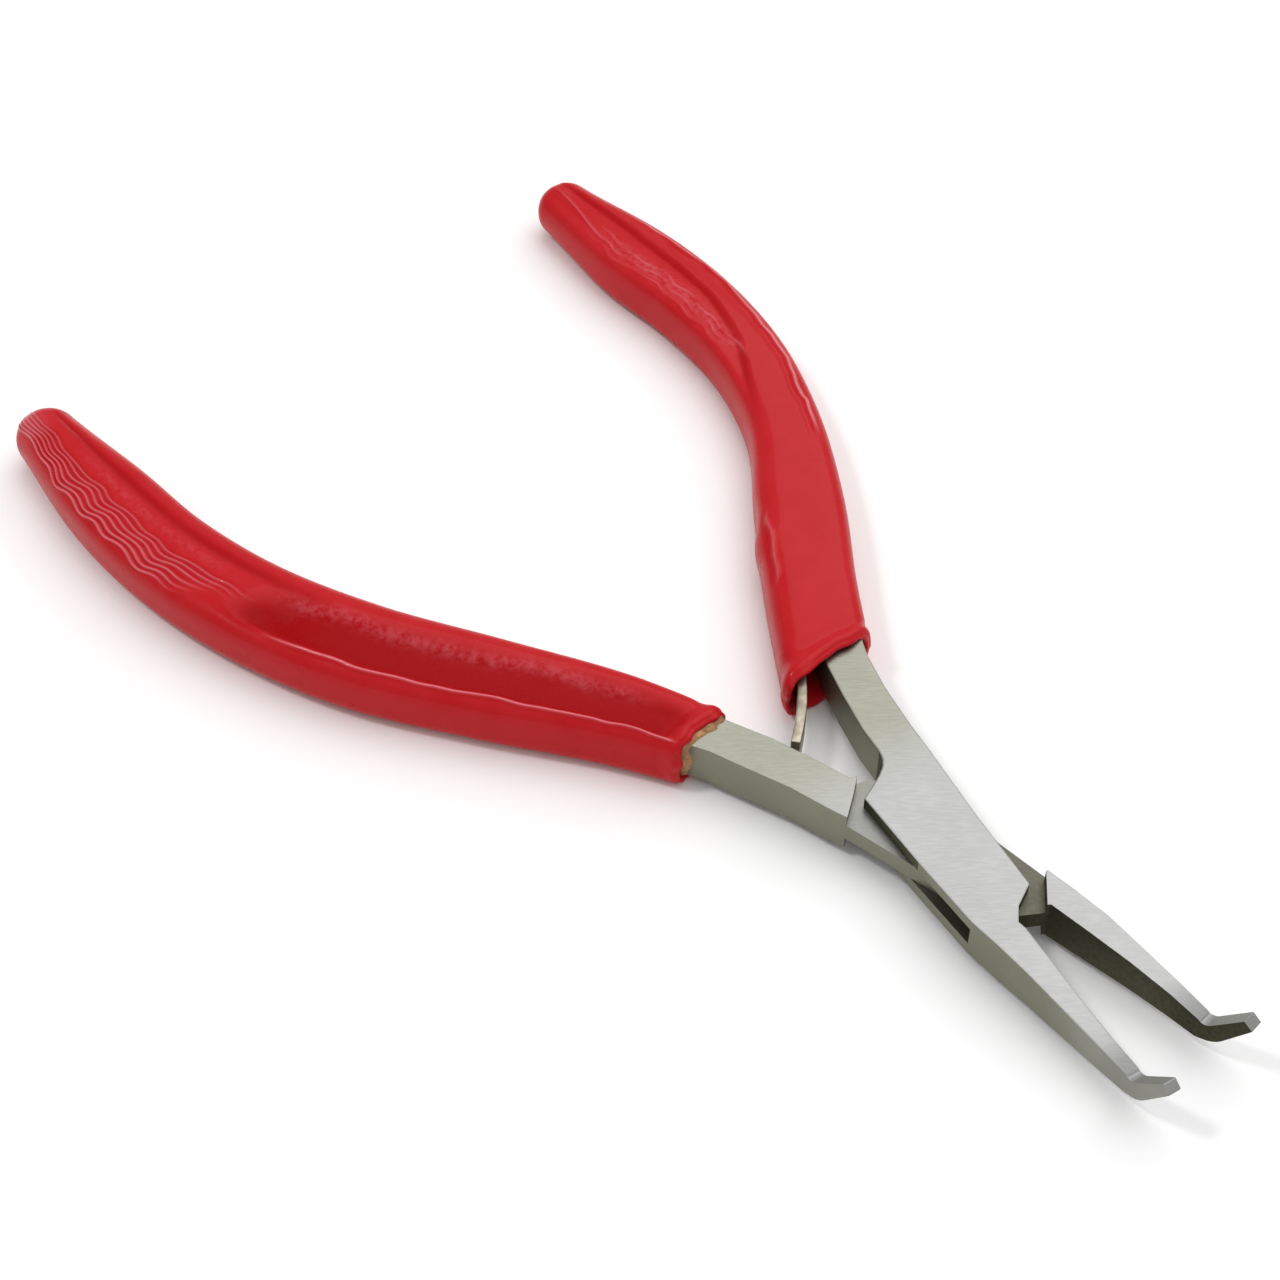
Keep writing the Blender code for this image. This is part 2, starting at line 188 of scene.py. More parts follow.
def addRamp(tree, value, low, high, toLow=0.0, toHigh=1.0, smooth=True):
    node = addNode(tree, "ShaderNodeMapRange",
                   {"From Min": low, "From Max": high, "To Min": toLow, "To Max": toHigh},
                   {"Value": value}, interpolation_type="SMOOTHSTEP" if smooth else "LINEAR")
    return node.outputs["Result"]


def addMix(tree, factor, first, second):
    node = tree.nodes.new("ShaderNodeMix")
    node.data_type = "RGBA"
    for key, term in ((0, factor), (6, first), (7, second)):
        if isinstance(term, (int, float, tuple)):
            node.inputs[key].default_value = term
        else:
            tree.links.new(term, node.inputs[key])
    return node.outputs[2]


def addPlace(tree):
    return addNode(tree, "ShaderNodeTexCoord").outputs["Object"]


def addMask(tree, name):
    return addNode(tree, "ShaderNodeAttribute", attribute_name=name).outputs["Fac"]


def addBump(tree, height, strength, depth, under=None):
    links = {"Height": height}
    if under is not None:
        links["Normal"] = under
    return addNode(tree, "ShaderNodeBump", {"Strength": strength, "Distance": depth}, links).outputs[0]


def makeFlecks():
    # soft blotches and fine grain, each from 0 to 1
    group, given, result = newGroup(
        "flecks",
        [("Blotch Scale", "NodeSocketFloat", 150.0), ("Grain Scale", "NodeSocketFloat", 1800.0)],
        [("Blotch", "NodeSocketFloat"), ("Grain", "NodeSocketFloat")])
    place = addPlace(group)
    for scale, detail, label in (("Blotch Scale", 3.0, "Blotch"), ("Grain Scale", 5.0, "Grain")):
        cloud = addNode(group, "ShaderNodeTexNoise", {"Detail": detail, "Roughness": 0.6},
                        {"Vector": place, "Scale": given.outputs[scale]})
        spread = addRamp(group, cloud.outputs["Fac"], 0.3, 0.7)
        group.links.new(spread, result.inputs[label])
    return group


def makeGrindMarks():
    # fine scratches that run one way, and a few longer and deeper ones beside them
    group, given, result = newGroup(
        "grindMarks",
        [("Fine Scale", "NodeSocketFloat", 4200.0), ("Stretch", "NodeSocketFloat", 0.06),
         ("Turn", "NodeSocketFloat", 0.9)],
        [("Marks", "NodeSocketFloat"), ("Long Marks", "NodeSocketFloat")])
    turned = addNode(group, "ShaderNodeVectorRotate", None,
                     {"Vector": addPlace(group), "Angle": given.outputs["Turn"]}, rotation_type="Z_AXIS")
    squeeze = addNode(group, "ShaderNodeCombineXYZ", {"Y": 1.0, "Z": 1.0}, {"X": given.outputs["Stretch"]})
    along = addNode(group, "ShaderNodeVectorMath", None,
                    {0: turned.outputs[0], 1: squeeze.outputs[0]}, operation="MULTIPLY")
    fine = addNode(group, "ShaderNodeTexNoise", {"Detail": 4.0, "Roughness": 0.65},
                   {"Vector": along.outputs[0], "Scale": given.outputs["Fine Scale"]})
    group.links.new(addRamp(group, fine.outputs["Fac"], 0.35, 0.65), result.inputs["Marks"])
    wide = times(group, given.outputs["Fine Scale"], 0.22)
    sparse = addNode(group, "ShaderNodeTexNoise", {"Detail": 2.0, "Roughness": 0.5, "Distortion": 0.4},
                     {"Vector": along.outputs[0], "Scale": wide})
    group.links.new(addRamp(group, sparse.outputs["Fac"], 0.58, 0.72), result.inputs["Long Marks"])
    return group


flecks = makeFlecks()
grindMarks = makeGrindMarks()


def newMaterial(name):
    material = bpy.data.materials.new(name)
    material.use_nodes = True
    tree = material.node_tree
    return material, tree, tree.nodes["Principled BSDF"]


def useGroup(tree, group, values):
    return addNode(tree, "ShaderNodeGroup", values, node_tree=group).outputs


def shaded(colour, share):
    return tuple(share * c for c in colour[:3]) + (1,)


groundSteel = {
    "top": (0.385, 0.388, 0.380, 1),
    "dimmedHandleTop": (0.315, 0.315, 0.262, 1),      # painted shade: the top is drawn darker towards the sleeves
    # the sides are painted darker than the top, as shade, and the tips' sides less so
    "side": (0.255, 0.258, 0.195, 1),
    "tipSide": (0.36, 0.36, 0.32, 1),
    "inner": (0.085, 0.082, 0.052, 1),          # painted shade on the jaws' gripping faces and in the joint's hollows
    "marks": {"Fine Scale": 5200.0, "Stretch": 0.12, "Turn": -0.9},
    "markShare": 0.45,
    "markShade": 0.80,
    "cloud": {"Blotch Scale": 130.0, "Grain Scale": 2600.0},
    "blotchShare": 0.35,
    "blotchShade": 0.82,
    "grainShare": 0.5,
    "grainShade": 1.7,
    "roughness": 0.34,
    "sideRoughness": 0.46,
    "blotchRoughness": 0.07,                    # this one and the next two are added
    "innerRoughness": 0.15,
    "tipRoughness": 0.22,
    "bump": 0.16,
    "bumpDepth": 0.04 * mm,
    "longMarkBump": -0.8,
    "innerBump": 2.5,
    "level": (0.55, 0.90),                      # how level a face is where top begins and is whole
    "dimmedAlong": (-4 * mm, -14 * mm),           # this one and the next three are places along the tool
    "tipSideAlong": (16 * mm, 26 * mm),
    "tipRoughAlong": (22 * mm, 26 * mm),
    "recessAlong": (-3 * mm, 5 * mm),
    "recessPale": (0.65, 0.15),                 # how much of the painted shade is taken off, behind and in front
}


def makeGroundSteel():
    look = groundSteel
    material, tree, shader = newMaterial("groundSteel")
    shader.inputs["Metallic"].default_value = 1.0
    facing = addNode(tree, "ShaderNodeNewGeometry").outputs["Normal"]
    upward = addNode(tree, "ShaderNodeSeparateXYZ", None, {0: facing}).outputs[2]
    level = addRamp(tree, addMath(tree, "ABSOLUTE", upward), *look["level"])
    along = addNode(tree, "ShaderNodeSeparateXYZ", None, {0: addPlace(tree)}).outputs[0]
    # where painted shade darkens the top towards the sleeves
    dimmed = addRamp(tree, along, *look["dimmedAlong"])
    marks = useGroup(tree, grindMarks, look["marks"])
    cloud = useGroup(tree, flecks, look["cloud"])
    # the painted shade in the recess over the tongue is lighter behind the joint than in front of it
    pale = times(tree, level, addRamp(tree, along, *look["recessAlong"], *look["recessPale"]))
    insideShade = times(tree, addMask(tree, "insideShade"), addMath(tree, "SUBTRACT", 1.0, pale))
    # painted shade: the sides are darker than the top, less so towards the tips
    side = addMix(tree, times(tree, cloud["Blotch"], look["blotchShare"]),
                  look["side"], shaded(look["side"], look["blotchShade"]))
    side = addMix(tree, addRamp(tree, along, *look["tipSideAlong"]), side, look["tipSide"])
    top = addMix(tree, dimmed, look["top"], look["dimmedHandleTop"])
    worn = addMix(tree, dimmed, shaded(look["top"], look["markShade"]),
                  shaded(look["dimmedHandleTop"], look["markShade"]))
    top = addMix(tree, times(tree, marks["Marks"], look["markShare"]), top, worn)
    # painted shade: the inner faces take the dark colour, with grain in it
    hollow = addMix(tree, times(tree, cloud["Grain"], look["grainShare"]),
                    look["inner"], shaded(look["inner"], look["grainShade"]))
    colour = addMix(tree, insideShade, addMix(tree, level, side, top), hollow)
    tree.links.new(colour, shader.inputs["Base Color"])
    shine = addRamp(tree, level, 0.0, 1.0, look["sideRoughness"], look["roughness"], False)
    shine = plus(tree, shine, times(tree, cloud["Blotch"], look["blotchRoughness"]))
    shine = plus(tree, shine, times(tree, insideShade, look["innerRoughness"]))
    shine = plus(tree, shine, addRamp(tree, along, *look["tipRoughAlong"], 0.0, look["tipRoughness"]))
    tree.links.new(shine, shader.inputs["Roughness"])
    height = plus(tree, marks["Marks"], times(tree, marks["Long Marks"], look["longMarkBump"]))
    height = plus(tree, height, times(tree, insideShade, times(tree, cloud["Grain"], look["innerBump"])))
    tree.links.new(addBump(tree, height, look["bump"], look["bumpDepth"]), shader.inputs["Normal"])
    return material


stripSteel = {
    "colour": (0.52, 0.47, 0.38, 1),
    "stain": (0.30, 0.26, 0.20, 1),
    "marks": {"Fine Scale": 3200.0, "Stretch": 0.08, "Turn": -0.7},
    "cloud": {"Blotch Scale": 420.0, "Grain Scale": 3000.0},
    "roughness": (0.34, 0.5),
    "bump": 0.15,
    "bumpDepth": 0.04 * mm,
}


def makeStripSteel():
    look = stripSteel
    material, tree, shader = newMaterial("stripSteel")
    shader.inputs["Metallic"].default_value = 1.0
    marks = useGroup(tree, grindMarks, look["marks"])
    cloud = useGroup(tree, flecks, look["cloud"])
    colour = addMix(tree, cloud["Blotch"], look["colour"], look["stain"])
    tree.links.new(colour, shader.inputs["Base Color"])
    shine = addRamp(tree, cloud["Blotch"], 0.0, 1.0, *look["roughness"], False)
    tree.links.new(shine, shader.inputs["Roughness"])
    bump = addBump(tree, marks["Marks"], look["bump"], look["bumpDepth"])
    tree.links.new(bump, shader.inputs["Normal"])
    return material


redPvc = {
    "colour": (0.50, 0.010, 0.014, 1),
    "pale": (0.56, 0.022, 0.030, 1),
    "shadedRed": (0.33, 0.000, 0.002, 1),            # painted shade down in the valleys, creases and hollow
    "line": (0.80, 0.190, 0.230, 1),            # painted highlight along the tops of folds, and on the far end
    "paleShare": 0.30,
    "shadedRedShare": 0.9,
    "highlightShare": 0.85,
    "glintShare": 0.22,
    "cloud": {"Blotch Scale": 260.0, "Grain Scale": 2300.0},
    "shimmer": {"Blotch Scale": 1500.0, "Grain Scale": 3400.0},
    "roughness": (0.27, 0.37),
    "sunkRoughness": -0.05,
    "specular": 0.05,
    "ior": 1.5,
    "coat": (0.15, 0.04),                       # on open skin and down in a valley
    "coatEnds": 0.8,
    "foldCoat": 0.9,
    "coatRoughness": 0.08,
    "bump": 0.16,
    "bumpDepth": 0.05 * mm,
    "creases": {"Scale": 1300.0, "Detail": 3.0, "Distortion": 0.8},
    "crumpleBump": 0.55,
    "crumpleDepth": 0.25 * mm,
}


def makeRedPvc():
    look = redPvc
    material, tree, shader = newMaterial("redPvc")
    cloud = useGroup(tree, flecks, look["cloud"])
    sunkShade = addMask(tree, "sunkShade")
    crumple = addMask(tree, "crumple")
    paintedHighlight = addMask(tree, "paintedHighlight")
    colour = addMix(tree, times(tree, cloud["Blotch"], look["paleShare"]), look["colour"], look["pale"])
    # painted shade in the valleys, creases and hollow
    colour = addMix(tree, times(tree, sunkShade, look["shadedRedShare"], clamp=True), colour, look["shadedRed"])
    # painted highlights along the folds, and painted glints where the skin is crumpled
    shimmer = useGroup(tree, flecks, look["shimmer"])["Blotch"]
    glint = times(tree, times(tree, crumple, shimmer), look["glintShare"])
    lit = plus(tree, times(tree, paintedHighlight, look["highlightShare"]), glint, clamp=True)
    tree.links.new(addMix(tree, lit, colour, look["line"]), shader.inputs["Base Color"])
    shine = addRamp(tree, cloud["Blotch"], 0.0, 1.0, *look["roughness"], False)
    shine = plus(tree, shine, times(tree, sunkShade, look["sunkRoughness"]))
    tree.links.new(shine, shader.inputs["Roughness"])
    gloss = addRamp(tree, sunkShade, 0.0, look["coatEnds"], *look["coat"], False)
    gloss = plus(tree, gloss, times(tree, paintedHighlight, look["foldCoat"]), clamp=True)
    tree.links.new(gloss, shader.inputs["Coat Weight"])
    shader.inputs["Specular IOR Level"].default_value = look["specular"]
    shader.inputs["Coat Roughness"].default_value = look["coatRoughness"]
    shader.inputs["IOR"].default_value = look["ior"]
    fine = addBump(tree, cloud["Grain"], look["bump"], look["bumpDepth"])
    creases = addNode(tree, "ShaderNodeTexNoise", look["creases"], {"Vector": addPlace(tree)})
    rough = times(tree, creases.outputs["Fac"], crumple)
    bump = addBump(tree, rough, look["crumpleBump"], look["crumpleDepth"], under=fine)
    tree.links.new(bump, shader.inputs["Normal"])
    return material


amberGlue = {
    "colour": (0.58, 0.31, 0.12, 1),
    "dark": (0.24, 0.085, 0.025, 1),
    "cloud": {"Blotch Scale": 700.0, "Grain Scale": 2600.0},
    "roughness": (0.36, 0.6),
    "coat": 0.25,
    "bump": 0.5,
    "bumpDepth": 0.1 * mm,
}


def makeAmberGlue():
    look = amberGlue
    material, tree, shader = newMaterial("amberGlue")
    cloud = useGroup(tree, flecks, look["cloud"])
    tree.links.new(addMix(tree, cloud["Blotch"], look["colour"], look["dark"]), shader.inputs["Base Color"])
    shine = addRamp(tree, cloud["Grain"], 0.0, 1.0, *look["roughness"], False)
    tree.links.new(shine, shader.inputs["Roughness"])
    shader.inputs["Coat Weight"].default_value = look["coat"]
    bump = addBump(tree, cloud["Grain"], look["bump"], look["bumpDepth"])
    tree.links.new(bump, shader.inputs["Normal"])
    return material


groundSteelLook = makeGroundSteel()
stripSteelLook = makeStripSteel()
redPvcLook = makeRedPvc()
amberGlueLook = makeAmberGlue()
print("materials made")


# shared shape helpers, in millimetres, for a handle drawn closed on the +Y side
handle = {
    "line": [(-21.2, 5.1), (-31.5, 9.0), (-42.5, 14.4), (-54.0, 19.6), (-66.0, 23.0),
             (-78.0, 24.0), (-90.0, 22.9), (-102.5, 21.1)],
    "steelWidth": 4.2,            # at the mouths of the sleeves
    "halfOpen": 7.6,
    "steelThick": 4.2,
}


def curveThrough(values, t):
    # Catmull-Rom curve through rows of values, at each t from 0 to 1
    rows = np.array(values, float)
    rows = np.vstack([2 * rows[0] - rows[1], rows, 2 * rows[-1] - rows[-2]])
    spans = len(rows) - 3
    place = np.clip(np.atleast_1d(t), 0, 1) * spans
    i = np.minimum(place.astype(int), spans - 1)
    u = (place - i)[:, None]
    a, b, c, d = (rows[i + k] for k in range(4))
    square = 2 * a - 5 * b + 4 * c - d
    cube = 3 * b - a - 3 * c + d
    return 0.5 * (2 * b + (c - a) * u + square * u ** 2 + cube * u ** 3)


def handleFrames(t):
    # middle points, unit vectors to the outside and unit vectors towards the joint
    step = 0.004
    t = np.atleast_1d(t)
    middle = curveThrough(handle["line"], t)
    ahead = curveThrough(handle["line"], t - step) - curveThrough(handle["line"], t + step)
    ahead /= np.linalg.norm(ahead, axis=1)[:, None]
    outward = np.stack([-ahead[:, 1], ahead[:, 0]], 1)
    return middle, outward, ahead


def stepUp(low, high, value):
    x = np.clip((value - low) / (high - low), 0, 1)
    return x * x * (3 - 2 * x)


def window(value, rise, full, fade, end):
    return stepUp(rise, full, value) * (1 - stepUp(fade, end, value))


def hump(value, centre, width):
    return np.exp(-((value - centre) / width) ** 2)


def wander(s, seed, size):
    # a smooth wavering line along the handle
    rng = np.random.default_rng(seed)
    total = np.zeros_like(s)
    longest = 17.0
    for period in (longest, 9.5, 5.7, 3.4):
        height = rng.uniform(0.4, 1.0) * period / longest
        length = period * rng.uniform(0.85, 1.15)
        total = total + height * np.sin(2 * pi * s / length + rng.uniform(0, 6.28))
    return total * size


def turnToSide(points, side):
    # swings a closed half out to where it lies open; side is 1 for the right handle and -1 for the left
    angle = -radians(handle["halfOpen"])
    x = points[..., 0] * cos(angle) - points[..., 1] * sin(angle)
    y = points[..., 0] * sin(angle) + points[..., 1] * cos(angle)
    return np.stack([x, y * side, points[..., 2]], -1) * mm


def roundedSquare(phi, square):
    # across and up at each angle, from -1 to 1; 2 gives a circle, higher is squarer
    reach = (np.abs(np.cos(phi)) ** square + np.abs(np.sin(phi)) ** square) ** (-1 / square)
    return reach * np.cos(phi), reach * np.sin(phi)


def mouthReach(shape, across):
    # how far towards the joint a sleeve's mouth comes, where across is 1 outside and -1 inside
    outer, inner = shape["mouth"]
    return inner + (outer - inner) * (across + 1) / 2


def skinMesh(name, rings, masks, look):
    # a closed skin through rings of equal length, with one value per point for each mask
    count = rings.shape[1]
    bm = bmesh.new()
    layers = {key: bm.verts.layers.float.new(key) for key in masks}
    rows = []
    for r in range(len(rings)):
        row = []
        for k in range(count):
            vert = bm.verts.new(rings[r, k])
            for key, layer in layers.items():
                vert[layer] = float(masks[key][r, k])
            row.append(vert)
        rows.append(row)
    for row, following in zip(rows, rows[1:]):
        for k in range(count):
            j = (k + 1) % count
            bm.faces.new((row[k], row[j], following[j], following[k]))
    for row in (rows[0], rows[-1]):
        bm.faces.new(row)
    bmesh.ops.recalc_face_normals(bm, faces=bm.faces)
    mesh = bpy.data.meshes.new(name)
    bm.to_mesh(mesh)
    bm.free()
    mesh.materials.append(look)
    mesh.shade_smooth()
    piece = bpy.data.objects.new(name, mesh)
    bpy.context.scene.collection.objects.link(piece)
    return piece


# the two sleeves: lengths in millimetres, places along them from 0 at the mouth to 1 at the far end
# and places round them in degrees, 0 outside, 90 on top and 180 inside
sleeve = {
    "low": -1.05,
    "high": 5.40,
    "square": 3.6,                # 2 is an ellipse, higher is squarer
    "endSquare": 2.1,
    "wall": 0.85,
    "length": 89.0,               # from the mouth to where the far end turns in
    "endLength": 3.1,
    "endTurns": [8, 16, 24, 32, 40, 48, 55, 62, 68, 73, 78, 82, 85.5, 88],
    "mouthFall": 0.25,            # how much lower the top is at the mouth
    "lipTurns": [28, 56, 84, 112, 140, 168],
    "lipRound": 0.16,
    "lipReach": 0.30,
    "rings": 300,
    "around": 208,
    "crowd": 0.55,                # draws more points over the top half, where the folds are
    "pocket": 0.34,               # how far in the hollow is drawn, as a share of the handle
    "pocketRings": 26,
    "pocketShade": 0.5,
}
leftSleeve = {
    # half widths outside and inside, from the mouth to the far end
    "halves": [(3.6, 3.3), (4.3, 4.1), (5.0, 4.9), (5.4, 5.2),
               (5.1, 5.1), (5.0, 4.8), (4.9, 4.3), (3.8, 3.0)],
    "mouth": (-2.8, -0.8),
    "ridge": 0.24,
    "ridgeAt": 50,
    "valley": 0.60,
    "valleyEnds": (88, 124),
    "wrinkle": 0.16,
    "wrinkles": 6,
    "wrinkleFrom": 45,
    "wrinkleStep": 6.8,
    "wrinkleLength": 5.6,
    "edge": 0.20,
    "edgeAt": 113,
    "dent": 0.35,
    "dentAt": (0.545, 66),
}
rightSleeve = {
    "halves": [(3.1, 6.5), (3.9, 5.3), (4.5, 4.8), (4.4, 3.7),
               (4.4, 4.0), (4.3, 4.9), (4.1, 5.4), (3.1, 3.8)],
    "mouth": (-2.9, 2.3),
    "groove": 0.42,
    "grooveAt": [(0.40, 134), (0.50, 122), (0.58, 100), (0.68, 86), (0.80, 80), (0.97, 76)],
    "ridge": 0.20,
    "rimAt": 55,
    "rimKink": 5.0,
    "bulge": 0.40,                # over the spring's rivet
    "bulgeAt": (0.215, 172),
    "creaseAt": 131,
}


def leftShape(s, t, phi, shape):
    # how far the left skin stands out, then its masks: painted shade, crumple and painted highlight
    ridgeAt = shape["ridgeAt"] + wander(s, 3, 1.6)
    line = window(t, 0.0, 0.03, 0.47, 0.53)
    valley = window(t, 0.0, 0.05, 0.50, 0.57) * stepUp(ridgeAt - 1, ridgeAt + 9, phi)
    valley *= 1 - stepUp(*shape["valleyEnds"], phi)
    d = shape["ridge"] * line * hump(phi, ridgeAt, 2.6) - shape["valley"] * valley
    # painted shade down the valley, and a painted highlight along the ridge
    sunkShade = 1.1 * valley
    paintedHighlight = 0.9 * line * hump(phi, ridgeAt + 0.6, 1.5)
    # neighbouring folds run nearly in step, as the lines of one crumpled skin do
    for k in range(shape["wrinkles"]):
        late = 0.016 * (shape["wrinkles"] - 1 - k)
        starts = window(t, 0.55 + late, 0.62 + late, 1.01, 1.05)
        wave = (2.6 - 0.2 * k) * np.sin(2 * pi * s / shape["wrinkleLength"] + 0.05 * s + 0.45 * k)
        wave += wander(s, 20, 2.4) + wander(s, 30 + k, 0.55)
        at = shape["wrinkleFrom"] + shape["wrinkleStep"] * k + wave
        d += shape["wrinkle"] * starts * (hump(phi, at, 1.7) - 0.4 * hump(phi, at + 3.4, 1.8))
        # painted shade beside each fold, and a painted highlight along it
        sunkShade += 0.30 * starts * hump(phi, at + 3.0, 1.7)
        paintedHighlight += (0.95 - 0.09 * k) * starts * hump(phi, at - 0.3, 1.0)
    edge = window(t, 0.45, 0.60, 0.96, 1.03)
    d -= shape["edge"] * edge * hump(phi, shape["edgeAt"] + wander(s, 7, 1.0), 6)
    # painted shade along the sunken edge
    sunkShade += 0.7 * edge * hump(phi, shape["edgeAt"], 7)
    dent = hump(t, shape["dentAt"][0], 0.028) * hump(phi, shape["dentAt"][1], 18)
    d -= shape["dent"] * dent
    # painted shade in the dent
    sunkShade += 0.9 * dent
    # a painted highlight on the far end
    paintedHighlight += 0.40 * window(t, 0.955, 1.0, 1.02, 1.04) * hump(phi, 62, 24)
    crumple = window(t, 0.06, 0.14, 0.50, 0.56) * hump(phi, 103 + wander(s, 41, 2.5), 9)
    crumple += 0.6 * window(t, 0.58, 0.66, 0.85, 0.95) * hump(phi, 96, 7)
    return d, sunkShade, crumple, paintedHighlight


def rightShape(s, t, phi, shape):
    # the same for the right skin, which has a long hollow that turns over to its top
    ridge = shape["ridge"]
    grooveAt = np.interp(t, *zip(*shape["grooveAt"])) + wander(s, 5, 1.0)
    body = window(t, 0.40, 0.52, 0.97, 1.05)
    basin = body * stepUp(grooveAt - 7, grooveAt + 7, phi) * (1 - stepUp(118, 142, phi))
    d = -shape["groove"] * basin
    # painted shade along the groove
    sunkShade = 0.55 * body * hump(phi, grooveAt + 2, 6)
    paintedHighlight = np.zeros_like(phi)
    # small ridges down in the hollow, with broken painted highlights along them
    for k in range(3):
        starts = window(t, 0.52 + 0.03 * k, 0.58 + 0.03 * k, 0.84, 0.93)
        at = 108 + 11 * k + wander(s, 9, 3.0) + wander(s, 50 + k, 0.8)
        at += 2.0 * np.sin(2 * pi * s / 5.3 + 0.5 * k)
        broken = 0.55 + 0.45 * np.sin(0.9 * s + 2 * k)
        d += 0.55 * ridge * starts * hump(phi, at, 2.4)
        paintedHighlight += (0.38 - 0.10 * k) * starts * hump(phi, at, 1.5) * broken
    lastAt = 120 - 18 * stepUp(0.88, 1.0, t)
    # a last small ridge, with a painted highlight along it
    d += 0.7 * ridge * window(t, 0.84, 0.88, 0.99, 1.03) * hump(phi, lastAt, 4)
    paintedHighlight += 0.35 * window(t, 0.86, 0.90, 0.98, 1.02) * hump(phi, lastAt, 1.8)
    # a wavering edge with a kink along the outside, with painted highlights along it
    kink = shape["rimKink"] * (stepUp(0.44, 0.455, t) - stepUp(0.50, 0.53, t))
    rimAt = shape["rimAt"] + wander(s, 15, 2.2) + kink
    rim = window(t, 0.36, 0.40, 0.80, 0.90)
    d += ridge * rim * (hump(phi, rimAt, 3.2) - 0.5 * hump(phi, rimAt + 8, 4.0))
    paintedHighlight += 0.85 * window(t, 0.38, 0.42, 0.60, 0.70) * hump(phi, rimAt, 1.6)
    paintedHighlight += 0.40 * window(t, 0.62, 0.70, 0.84, 0.92) * hump(phi, rimAt - 2, 2.0)
    # the swelling over the spring's rivet and the creases beside it, with a painted highlight on a crease and
    # painted shade beside it
    bulgeAt, bulgeSide = shape["bulgeAt"]
    d += shape["bulge"] * hump(t, bulgeAt, 0.028) * hump(phi, bulgeSide, 34)
    d -= 0.12 * hump(t, bulgeAt + 0.06, 0.026) * hump(phi, bulgeSide, 34)
    beside = window(t, 0.13, 0.155, 0.235, 0.26)
    creaseAt = shape["creaseAt"] + wander(s, 31, 1.4) + 1.2 * np.sin(2 * pi * s / 5.0)
    d += beside * (0.09 * hump(phi, creaseAt, 2.6) - 0.08 * hump(phi, creaseAt + 7, 3.5))
    paintedHighlight += 0.45 * beside * hump(phi, creaseAt, 1.3)
    sunkShade += 0.35 * beside * hump(phi, creaseAt + 7, 3.5)
    d += 0.07 * window(t, 0.03, 0.06, 0.12, 0.15) * hump(phi, 133 + wander(s, 33, 1.2), 3.2)
    crumple = window(t, 0.54, 0.6, 0.84, 0.92) * hump(phi, 112, 12)
    return d, sunkShade, crumple, paintedHighlight


def sleeveSection(shape, phi, t, extra):
    # one ring per t: places and heights, normals and the handle's own directions
    # extra is the angle by which the far end turns round
    tall = (sleeve["high"] - sleeve["low"]) / 2
    middleZ = (sleeve["high"] + sleeve["low"]) / 2
    middle, outward, ahead = handleFrames(np.minimum(t, 1))
    halves = curveThrough(shape["halves"], np.minimum(t, 1))
    offset = (halves[:, 0] - halves[:, 1]) / 2
    shrink = np.cos(extra)
    square = sleeve["square"] - (sleeve["square"] - sleeve["endSquare"]) * stepUp(0.80, 1.0, t)
    acrossUnit, upUnit = roundedSquare(phi, square[:, None])
    fall = sleeve["mouthFall"] * np.maximum(0, 1 - t / 0.12)
    across = acrossUnit * (halves.sum(1) / 2 * shrink)[:, None]
    up = upUnit * (tall * shrink ** 0.8 - fall / 2)[:, None] + (middleZ - fall / 2)[:, None]
    push = mouthReach(shape, acrossUnit) * (np.maximum(0, 1 - t / 0.2) ** 1.5)[:, None]
    push = push - (sleeve["endLength"] * np.sin(extra))[:, None]
    flat = middle[:, None] + outward[:, None] * (across + offset[:, None])[..., None]
    flat = flat + ahead[:, None] * push[..., None]
    acrossStep = np.roll(across, -1, 1) - np.roll(across, 1, 1)
    upStep = np.roll(up, -1, 1) - np.roll(up, 1, 1)
    normal = np.stack([upStep, -acrossStep], -1) / np.hypot(acrossStep, upStep)[..., None]
    return flat, up, normal, outward, ahead


def sleeveRings(section, amount, forward):
    # the section's rings, moved out along their normals and forward along the handle
    flat, up, normal, outward, ahead = section
    flat = flat + outward[:, None] * (normal[..., 0] * amount)[..., None]
    flat = flat + ahead[:, None] * forward[..., None]
    return np.concatenate([flat, (up + normal[..., 1] * amount)[..., None]], -1)


